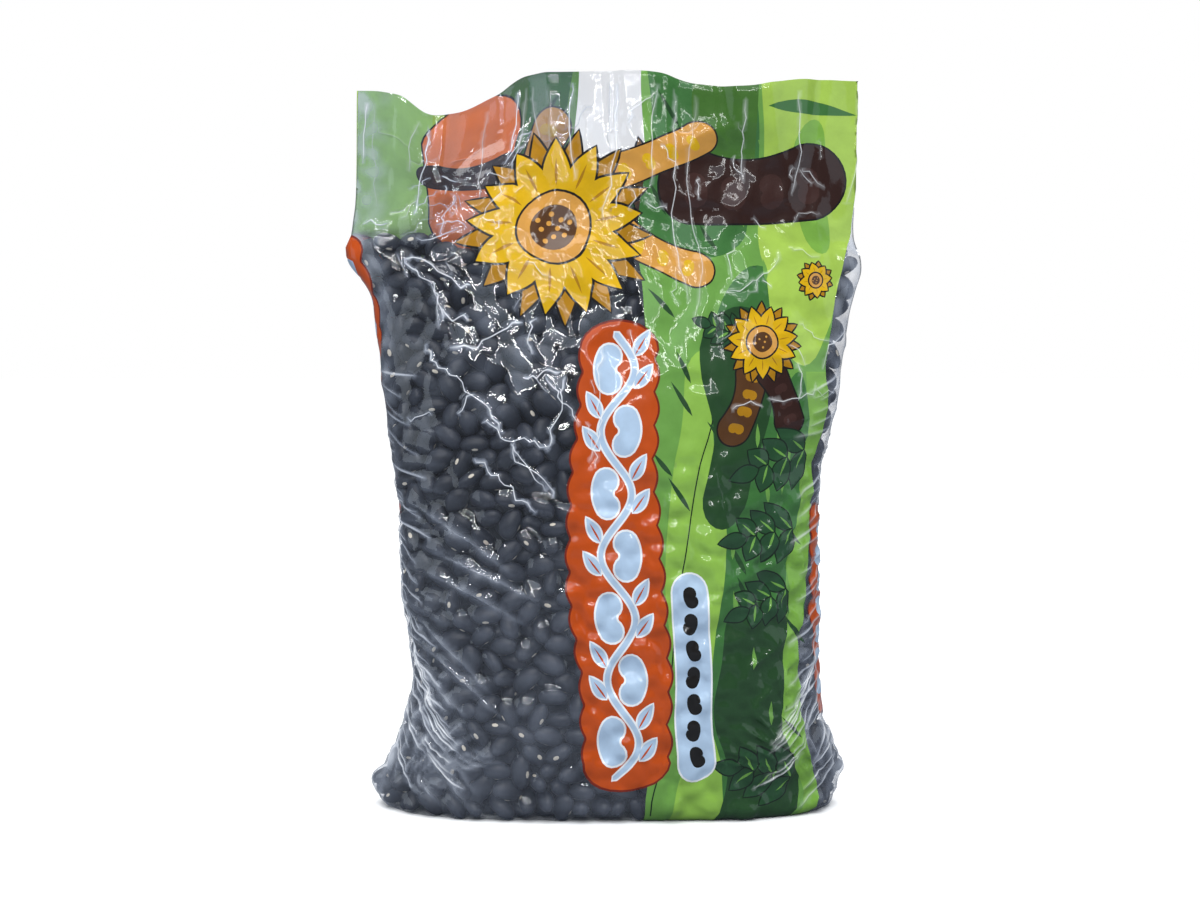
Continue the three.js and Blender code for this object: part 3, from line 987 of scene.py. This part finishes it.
def printed_shapes(sheet):
    """Every printed shape as its ink and outline, in the order of printing."""
    low = sheet.t[0]
    for panel, shift in (("front", 0), ("back", LAY_FLAT_WIDTH - TUBE)):
        yield from print_field(shift, low)
        yield from front_motif(shift) if panel == "front" else back_motif(shift)
        yield from small_motif(shift + 140, 160)
        yield from blossom(shift + 159, 181, 6, 8, "yellow", "tan", 0.5)
        yield from sprig(shift + 157, 124, 200, 22)
        yield from sprig(shift + 152, 98, 190, 21)
        yield from sprig(shift + 149, 78, 205, 19)
        yield from sprig(shift + 148, 14, 168, 22)
        yield from plaque(shift + 90.5, 11.5, 167.5, 15.2)
        yield from vine(shift + 90.5, 17.5, 161.5, 5.6, 7)
        yield from bean_pill(shift + 108.5, shift + 121.5, 14, 84, 7)
    for s, from_t, to_t, half_width, beans in ((-3, 100, 197, 8, 8), (168.5, 34, 106, 6, 7)):
        yield from plaque(s, from_t, to_t, half_width)
        yield from bean_row(s, from_t + 5, to_t - 5, 1.1 * half_width, beans, "pale blue")


# The printed film is cut along the outlines

def inside(points, outline):
    """Which points lie inside a closed outline."""
    x, y = points[:, 0][:, None], points[:, 1][:, None]
    x1, y1 = outline[:, 0][None, :], outline[:, 1][None, :]
    x2, y2 = np.roll(x1, -1, axis=1), np.roll(y1, -1, axis=1)
    with np.errstate(divide="ignore", invalid="ignore"):
        crosses = ((y1 > y) != (y2 > y)) & (x < (x2 - x1) * (y - y1) / (y2 - y1) + x1)
    return crosses.sum(axis=1) % 2 == 1


def clear_nodes(sheet, keep, line, closed):
    """Grid nodes that a line nearly touches are left out, so that no sliver forms there."""
    nexts = np.roll(line, -1, axis=0) if closed else np.concatenate([line[1:], line[-1:]])
    for share in (0, 0.33, 0.67):
        spots = line + (nexts - line) * share
        column = np.rint((spots[:, 0] - sheet.s[0]) * COLUMNS / TUBE).astype(int)
        column = np.clip(column, 0, COLUMNS)
        row = np.rint(np.interp(spots[:, 1], sheet.t, np.arange(len(sheet.t)))).astype(int)
        close = np.hypot(sheet.s[column] - spots[:, 0], sheet.t[row] - spots[:, 1]) < CLEAR_OF_LINE
        keep[row[close], column[close]] = False


def refined(outline, step=OUTLINE_STEP):
    """The outline with more points on its long straight parts, so that they follow the film."""
    points = []
    for start, end in zip(outline, np.roll(outline, -1, axis=0)):
        parts = max(1, math.ceil(np.linalg.norm(end - start) / step))
        points.extend(start + (end - start) * i / parts for i in range(parts))
    return np.array(points)


def seam_partners(sheet, points):
    """The other side's places for points on the weld, the foot's middle line and the back seam."""
    s, t = np.array(points).T
    first, last = sheet.s[0], sheet.s[-1]
    folded = (t <= sheet.t[0]) | (t >= sheet.t[-1])
    opposite = np.stack([first + np.mod(-s - first, TUBE), t], axis=1)[folded]
    seamed = (s <= first) | (s >= last)
    wrapped = np.stack([first + last - s, t], axis=1)[seamed]
    return np.concatenate([opposite, wrapped]).tolist()


def cut_sheet(sheet, shapes, creases):
    """Triangles of the sheet in s and t that keep to every outline and crease, and the ink on each."""
    s, t = np.meshgrid(sheet.s, sheet.t)
    keep = np.ones(s.shape, bool)
    low, high = (sheet.s[0], sheet.t[0]), (sheet.s[-1], sheet.t[-1])
    points, edges = [], []
    for _, outline in shapes:
        outline = refined(np.clip(outline, low, high))
        first, count = len(points), len(outline)
        points.extend(outline.tolist())
        edges.extend((first + i, first + (i + 1) % count) for i in range(count))
        clear_nodes(sheet, keep, outline, True)
    for line, half_width, _, _ in creases:
        for by in (-half_width, 0, half_width):
            moved = np.clip(beside(line, by), low, high)
            first, count = len(points), len(moved)
            points.extend(moved.tolist())
            edges.extend((first + i, first + i + 1) for i in range(count - 1))
            clear_nodes(sheet, keep, moved, False)
    keep[[0, -1], :] = True
    keep[:, [0, -1]] = True
    # Both sides of a seam have the same points, so that it closes
    points.extend(seam_partners(sheet, points))
    points.extend(np.stack([s[keep], t[keep]], axis=1).tolist())
    found, _, faces, _, _, _ = delaunay_2d_cdt([Vector(p) for p in points], edges, [], 0, 1e-4, False)
    places = np.array([(v.x, v.y) for v in found])
    faces = np.array(faces)
    middles = places[faces].mean(axis=1)
    inks = np.full(len(faces), -1)
    for number, (_, outline) in enumerate(shapes):
        low, high = outline.min(axis=0), outline.max(axis=0)
        near = np.nonzero(((middles >= low) & (middles <= high)).all(axis=1))[0]
        inks[near[inside(middles[near], outline)]] = number
    return places, faces, inks


def film_piece(sheet, shapes, cut, creases, haze_and_sheen, materials, ink_order):
    places, faces, inks = cut
    s, t = places[:, 0], places[:, 1]
    normals = sheet.at(s, t, sheet.normals())
    normals /= np.maximum(np.linalg.norm(normals, axis=1, keepdims=True), 1e-9)
    rise, glint = crease_rise(places, creases)
    # Where the film lies on beans, a crease can only stand up
    rise = np.where(t < FILL_HEIGHT - 4, np.abs(rise), np.maximum(rise, -0.5 * sheet.at(s, t, sheet.depth)))
    points = sheet.at(s, t) + normals * rise[:, None]
    points[:, 2] = np.maximum(points[:, 2], 0)
    # Slot 0 is clear film, for what lies inside no outline
    slots = np.array([ink_order.index(ink) for ink, _ in shapes] + [-1]) + 1
    piece = mesh_object("film", points, faces.tolist(), slots[inks], materials)
    # Front and back film are shaded apart at the weld, or its rim would shine in places
    ends = np.empty(2 * len(piece.data.edges), np.int32)
    piece.data.edges.foreach_get("vertices", ends)
    at_weld = (t[ends].reshape(-1, 2) > BAG_HEIGHT - 0.01).all(axis=1)
    piece.data.edges.foreach_set("use_edge_sharp", at_weld)
    # The film's haze, with the painted sheen and the creases' painted highlights added to it
    haze_and_glint = piece.data.attributes.new("haze_and_sheen", "FLOAT", "POINT")
    haze_and_glint.data.foreach_set("value", np.clip(sheet.at(s, t, haze_and_sheen) + glint, 0, 1).astype(np.float32))
    # The creases' painted highlights alone, which whiten the ink
    painted_crease_glint = piece.data.attributes.new("painted_crease_glint", "FLOAT", "POINT")
    painted_crease_glint.data.foreach_set("value", np.clip(glint, 0, 1).astype(np.float32))
    slack = piece.data.attributes.new("slack", "FLOAT", "POINT")
    slack.data.foreach_set("value", smooth(120, 190, t).astype(np.float32))
    uv = piece.data.uv_layers.new(name="sheet")
    corners = np.empty(len(piece.data.loops), np.int32)
    piece.data.loops.foreach_get("vertex_index", corners)
    uv.data.foreach_set("uv", (places[corners] * MM).ravel().astype(np.float32))
    deselect()
    piece.select_set(True)
    bpy.context.view_layer.objects.active = piece
    bpy.ops.object.mode_set(mode="EDIT")
    bpy.ops.mesh.select_all(action="SELECT")
    bpy.ops.mesh.remove_doubles(threshold=SAME_POINT * MM)
    bpy.ops.object.mode_set(mode="OBJECT")
    return piece


def press_in(beans, film):
    """The film holds the beans in: where a bean would stand out through it, the bean gives way."""
    tree = BVHTree.FromObject(film, bpy.context.evaluated_depsgraph_get())
    mesh = beans.data
    for _ in range(PRESS_STEPS):
        spots = [(vertex.co.copy(), (vertex.index,)) for vertex in mesh.vertices]
        spots += [(face.center.copy(), tuple(face.vertices)) for face in mesh.polygons]
        for place, corners in spots:
            spot, normal, _, away = tree.find_nearest(place)
            proud = (place - spot).dot(normal) + PRESSED_UNDER * MM
            # A face of the film that points towards the middle of the bag presses nothing
            outward = 0.2 * normal.x * place.x + normal.y * place.y > 0 or normal.z < -0.5
            if proud > 0 and away < PRESS_REACH * MM and outward:
                for corner in corners:
                    mesh.vertices[corner].co -= normal * proud
    mesh.update()


# Materials

def linear(code):
    """An sRGB hex colour as linear red, green, blue and alpha."""
    parts = [int(code[i:i + 2], 16) / 255 for i in (1, 3, 5)]
    return tuple(p / 12.92 if p <= 0.04045 else ((p + 0.055) / 1.055) ** 2.4 for p in parts) + (1.0,)


def add_node(tree, kind, settings=None, links=None):
    """A node with its settings, by input or property name, and its inputs' links."""
    node = tree.nodes.new(kind)
    for name, value in (settings or {}).items():
        if isinstance(name, str) and hasattr(node, name):
            setattr(node, name, value)
        else:
            node.inputs[name].default_value = value
    for name, source in (links or {}).items():
        tree.links.new(source, node.inputs[name])
    return node


def new_material(name):
    material = bpy.data.materials.new(name)
    material.use_nodes = True
    material.node_tree.nodes.clear()
    return material, material.node_tree


# Coral and soft green, printed on the back, are set lighter than their inks: painted light for the light that
# would come through the film and its ink, and against the shade that the back lies in.
INKS = {
    "orange": "#bf4a0a", "coral": "#fb7e38", "deep red": "#74200c", "pale blue": "#b4cbe2",
    "white": "#eef1f3", "yellow": "#d6a800", "gold": "#a87609", "tan": "#cf9440",
    "brown": "#523216", "dark brown": "#2f1711", "soft brown": "#3c221d", "black": "#13100e",
    "field green": "#426e28", "light green": "#6a9c45",
    "soft green": "#a3cf72", "yellow green": "#8cb84a", "lime": "#a5c650", "pale lime": "#7aab42",
    "mid green": "#3b6f35", "dark green": "#224523", "leaf green": "#22482a", "outline green": "#0e2213",
}


def crinkle(tree, uv, strength, distance):
    """Crinkles of thin film: sharp lines some 9 mm apart and finer ones between, most where it is slack."""
    warp = add_node(tree, "ShaderNodeTexNoise", {"Scale": 90.0, "Detail": 2.0}, {"Vector": uv})
    mixed = add_node(
        tree, "ShaderNodeMix", {"data_type": "VECTOR", "Factor": 0.012},
        {4: uv, 5: warp.outputs["Color"]})
    cells = add_node(
        tree, "ShaderNodeTexVoronoi", {"feature": "DISTANCE_TO_EDGE", "Scale": 110.0},
        {"Vector": mixed.outputs[1]})
    fine = add_node(
        tree, "ShaderNodeTexNoise", {"Scale": 330.0, "Detail": 4.0, "Roughness": 0.6}, {"Vector": uv})
    slack = add_node(tree, "ShaderNodeAttribute", {"attribute_name": "slack"}).outputs["Fac"]
    drawn = add_node(tree, "ShaderNodeMath", {"operation": "MULTIPLY_ADD", 1: 0.85, 2: 0.15}, {0: slack})
    height = add_node(
        tree, "ShaderNodeMath", {"operation": "MULTIPLY_ADD", 1: 0.35},
        {0: fine.outputs["Fac"], 2: cells.outputs["Distance"]})
    eased = add_node(
        tree, "ShaderNodeMath", {"operation": "MULTIPLY"}, {0: height.outputs[0], 1: drawn.outputs[0]})
    return add_node(
        tree, "ShaderNodeBump", {"Strength": strength, "Distance": distance}, {"Height": eased.outputs[0]})


def clear_film():
    """Cast polyethylene film: clear and glossy, paler on its folds, with painted highlights along its creases
    and a painted sheen over the upper beans. Both its faces reflect.
    """
    material, tree = new_material("cast_polyethylene_film")
    uv = add_node(tree, "ShaderNodeUVMap", {"uv_map": "sheet"}).outputs["UV"]
    haze_and_glint = add_node(tree, "ShaderNodeAttribute", {"attribute_name": "haze_and_sheen"}).outputs["Fac"]
    bump = crinkle(tree, uv, 0.3, 0.0006)
    clear = add_node(tree, "ShaderNodeBsdfTransparent", {"Color": (0.93, 0.935, 0.945, 1)})
    # The haze, painted sheen and painted highlights: bluish where faint, white where strong
    shade = add_node(
        tree, "ShaderNodeMix", {"data_type": "RGBA", 6: linear("#cdd9f0"), 7: (1, 1, 1, 1)},
        {"Factor": haze_and_glint})
    haze_and_sheen = add_node(
        tree, "ShaderNodeBsdfDiffuse", {}, {"Color": shade.outputs[2], "Normal": bump.outputs[0]})
    haze_and_painted_glint = add_node(tree, "ShaderNodeMixShader", {}, {0: haze_and_glint, 1: clear.outputs[0], 2: haze_and_sheen.outputs[0]})
    gloss = add_node(tree, "ShaderNodeBsdfGlossy", {"Roughness": 0.05}, {"Normal": bump.outputs[0]})
    # A thin sheet mirrors alike from both sides: 7 % head on, and all of the light at a glance
    glance = add_node(tree, "ShaderNodeLayerWeight", {"Blend": 0.5}, {"Normal": bump.outputs[0]})
    steep = add_node(tree, "ShaderNodeMath", {"operation": "POWER", 1: 5.0}, {0: glance.outputs["Facing"]})
    mirror = add_node(
        tree, "ShaderNodeMath", {"operation": "MULTIPLY_ADD", 1: 0.93, 2: 0.07}, {0: steep.outputs[0]})
    shader = add_node(
        tree, "ShaderNodeMixShader", {}, {0: mirror.outputs[0], 1: haze_and_painted_glint.outputs[0], 2: gloss.outputs[0]})
    add_node(tree, "ShaderNodeOutputMaterial", {}, {"Surface": shader.outputs[0]})
    return material


def ink(name, code):
    """Reverse-printed ink under glossy film, a little mottled as flexographic print is, with painted
    highlights where the film is sharply creased.
    """
    material, tree = new_material("printed_" + name.replace(" ", "_"))
    uv = add_node(tree, "ShaderNodeUVMap", {"uv_map": "sheet"}).outputs["UV"]
    mottle = add_node(
        tree, "ShaderNodeTexNoise", {"Scale": 140.0, "Detail": 5.0, "Roughness": 0.65}, {"Vector": uv})
    colour = linear(code)
    dark = tuple(c * 0.82 for c in colour[:3]) + (1.0,)
    light = tuple(min(1, c * 1.16 + 0.004) for c in colour[:3]) + (1.0,)
    tint = add_node(
        tree, "ShaderNodeMix", {"data_type": "RGBA", 6: dark, 7: light}, {"Factor": mottle.outputs["Fac"]})
    # Sharp creases of the film over the ink are painted white, as highlights
    painted_crease_glint = add_node(tree, "ShaderNodeAttribute", {"attribute_name": "painted_crease_glint"}).outputs["Fac"]
    share = add_node(tree, "ShaderNodeMath", {"operation": "MULTIPLY", 1: 0.75}, {0: painted_crease_glint})
    paled = add_node(
        tree, "ShaderNodeMix", {"data_type": "RGBA", 7: (1, 1, 1, 1)},
        {"Factor": share.outputs[0], 6: tint.outputs[2]})
    bump = crinkle(tree, uv, 0.26, 0.0006)
    shader = add_node(
        tree, "ShaderNodeBsdfPrincipled",
        {"Roughness": 0.4, "Specular IOR Level": 0.1,
         "Coat Weight": 0.85, "Coat Roughness": 0.06, "Coat IOR": 1.45},
        {"Base Color": paled.outputs[2], "Normal": bump.outputs[0], "Coat Normal": bump.outputs[0]})
    add_node(tree, "ShaderNodeOutputMaterial", {}, {"Surface": shader.outputs[0]})
    return material


def seed_coat():
    """The black seed coat of a dried bean: dull, blue-black, each a little different."""
    material, tree = new_material("black_bean_seed_coat")
    place = add_node(tree, "ShaderNodeTexCoord").outputs["Object"]
    tone = add_node(tree, "ShaderNodeAttribute", {"attribute_name": "tone"}).outputs["Fac"]
    speckle = add_node(tree, "ShaderNodeTexNoise", {"Scale": 500.0, "Detail": 3.0}, {"Vector": place})
    shade = add_node(tree, "ShaderNodeMath", {"operation": "MULTIPLY", 1: 0.6}, {0: tone})
    both = add_node(
        tree, "ShaderNodeMath", {"operation": "MULTIPLY_ADD", 1: 0.4},
        {0: speckle.outputs["Fac"], 2: shade.outputs[0]})
    tint = add_node(
        tree, "ShaderNodeMix", {"data_type": "RGBA", 6: linear("#171922"), 7: linear("#30343f")},
        {"Factor": both.outputs[0]})
    bump = add_node(
        tree, "ShaderNodeBump", {"Strength": 0.15, "Distance": 0.0002}, {"Height": speckle.outputs["Fac"]})
    shader = add_node(
        tree, "ShaderNodeBsdfPrincipled", {"Roughness": 0.45, "IOR": 1.45},
        {"Base Color": tint.outputs[2], "Normal": bump.outputs[0]})
    add_node(tree, "ShaderNodeOutputMaterial", {}, {"Surface": shader.outputs[0]})
    return material


def plain(name, code, roughness):
    material, tree = new_material(name)
    shader = add_node(tree, "ShaderNodeBsdfPrincipled", {"Base Color": linear(code), "Roughness": roughness})
    add_node(tree, "ShaderNodeOutputMaterial", {}, {"Surface": shader.outputs[0]})
    return material


# Set

CAMERA_AIM = Vector((-1.8, 0, 123.2)) * MM
CAMERA_DISTANCE = 574.5 * MM
CAMERA_ELEVATION = 3
CAMERA_LENS = 50
SUN_ANGLE = 60
FLOOR_SIZE = 30


def add_camera():
    camera = bpy.data.objects.new("camera", bpy.data.cameras.new("camera"))
    bpy.context.scene.collection.objects.link(camera)
    camera.data.lens = CAMERA_LENS
    rise = math.radians(CAMERA_ELEVATION)
    camera.location = CAMERA_AIM + CAMERA_DISTANCE * Vector((0, -math.cos(rise), math.sin(rise)))
    camera.rotation_euler = (math.pi / 2 - rise, 0, 0)
    bpy.context.scene.camera = camera


def add_lamp(name, kind, place, power, size=(0.1, 0.1), aim=(0, 0, 0.12), tint=(1, 1, 1)):
    light = bpy.data.lights.new(name, kind)
    light.energy = power
    light.color = tint
    if kind == "AREA":
        light.shape = "RECTANGLE"
        light.size, light.size_y = size
    else:
        light.angle = math.radians(SUN_ANGLE)
    lamp = bpy.data.objects.new(name, light)
    lamp.location = place
    lamp.rotation_euler = (Vector(aim) - Vector(place)).to_track_quat("-Z", "Y").to_euler()
    lamp.visible_camera = False
    bpy.context.scene.collection.objects.link(lamp)


def add_lit_frame(name, middle, width, height, panel, rim, rim_width=0.022):
    """A softbox with a bright rim, which thin film mirrors as fine bright lines."""
    add_lamp(name, "AREA", middle, panel, (width, height), tint=(0.72, 0.85, 1))
    turn = (Vector((0, 0, 0.12)) - Vector(middle)).to_track_quat("-Z", "Y")
    for side in (-1, 1):
        for shift, size in (
            ((side * width / 2, 0, 0), (rim_width, height)), ((0, side * height / 2, 0), (width, rim_width))
        ):
            spot = Vector(middle) + turn @ Vector(shift)
            aim = spot + turn @ Vector((0, 0, -1))
            add_lamp(f"{name}_rim", "AREA", spot, rim * max(size), size, aim)


def split_by_ray(tree, seen, other):
    """One shader for what the camera sees, and another for what the bag mirrors and is lit by."""
    ray = add_node(tree, "ShaderNodeLightPath").outputs["Is Camera Ray"]
    return add_node(tree, "ShaderNodeMixShader", {}, {0: ray, 1: other.outputs[0], 2: seen.outputs[0]})


def add_floor():
    """A pale floor, wide enough for every view, which throws little light back."""
    deselect()
    bpy.ops.mesh.primitive_plane_add(size=FLOOR_SIZE, location=(0, 0, 0))
    floor = bpy.context.active_object
    floor.name = "floor"
    material, tree = new_material("pale_studio_floor")
    seen = add_node(tree, "ShaderNodeBsdfDiffuse", {"Color": linear("#ffffff")})
    other = add_node(tree, "ShaderNodeBsdfDiffuse", {"Color": linear("#7c828c")})
    mixed = split_by_ray(tree, seen, other)
    add_node(tree, "ShaderNodeOutputMaterial", {}, {"Surface": mixed.outputs[0]})
    floor.data.materials.append(material)


def add_studio():
    """White all round for the camera and dim for the film, with softboxes at the sides."""
    world = bpy.data.worlds.new("studio")
    bpy.context.scene.world = world
    world.use_nodes = True
    tree = world.node_tree
    tree.nodes.clear()
    dim = add_node(tree, "ShaderNodeBackground", {"Color": (0.82, 0.9, 1, 1), "Strength": 0.16})
    white = add_node(tree, "ShaderNodeBackground", {"Color": (1, 1, 1, 1), "Strength": 1.0})
    mixed = split_by_ray(tree, white, dim)
    add_node(tree, "ShaderNodeOutputWorld", {}, {"Surface": mixed.outputs[0]})
    add_lamp("overhead", "SUN", (0, -0.2, 2), 3.0, aim=(0, 0, 0))
    add_lamp("softbox_left", "AREA", (-1.0, -0.5, 0.4), 2.6, (0.8, 0.9), tint=(0.8, 0.9, 1))
    add_lamp("softbox_right", "AREA", (1.0, -0.5, 0.4), 2.2, (0.8, 0.9), tint=(0.8, 0.9, 1))
    add_lamp("softbox_back_left", "AREA", (-0.5, 1.1, 0.8), 4, (0.8, 0.8))
    add_lamp("softbox_back_right", "AREA", (0.5, 1.1, 0.8), 4, (0.8, 0.8))
    add_lit_frame("front_frame", (-0.1, -0.95, 0.72), 0.55, 0.42, 0.8, 3.2)
    bpy.context.scene.view_settings.view_transform = "Standard"


def main():
    sheet = Sheet()
    tree = wall_tree(sheet)
    shapes = list(printed_shapes(sheet))
    creases = sharp_creases()
    cut = cut_sheet(sheet, shapes, creases)
    centres, axes, halves, outer = settle_beans(sheet, tree)
    fine = outer & behind_window(centres)
    coat, scar = seed_coat(), plain("bean_scar", "#e8dcc8", 0.5)
    beans = place_beans(centres, axes, halves, fine, [coat, scar])
    core = core_piece(sheet, plain("shade_between_beans", "#15161c", 0.9))
    folds = shape_film(sheet)
    haze_and_sheen = film_haze_and_sheen(sheet, folds, hug_beans(sheet, beans))
    materials = [clear_film()] + [ink(name, code) for name, code in INKS.items()]
    film = film_piece(sheet, shapes, cut, creases, haze_and_sheen, materials, list(INKS))
    press_in(beans, film)
    for piece in (film, beans, core):
        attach(piece, "root")
    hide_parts("bean_bag")


main()
add_floor()
add_studio()
add_camera()
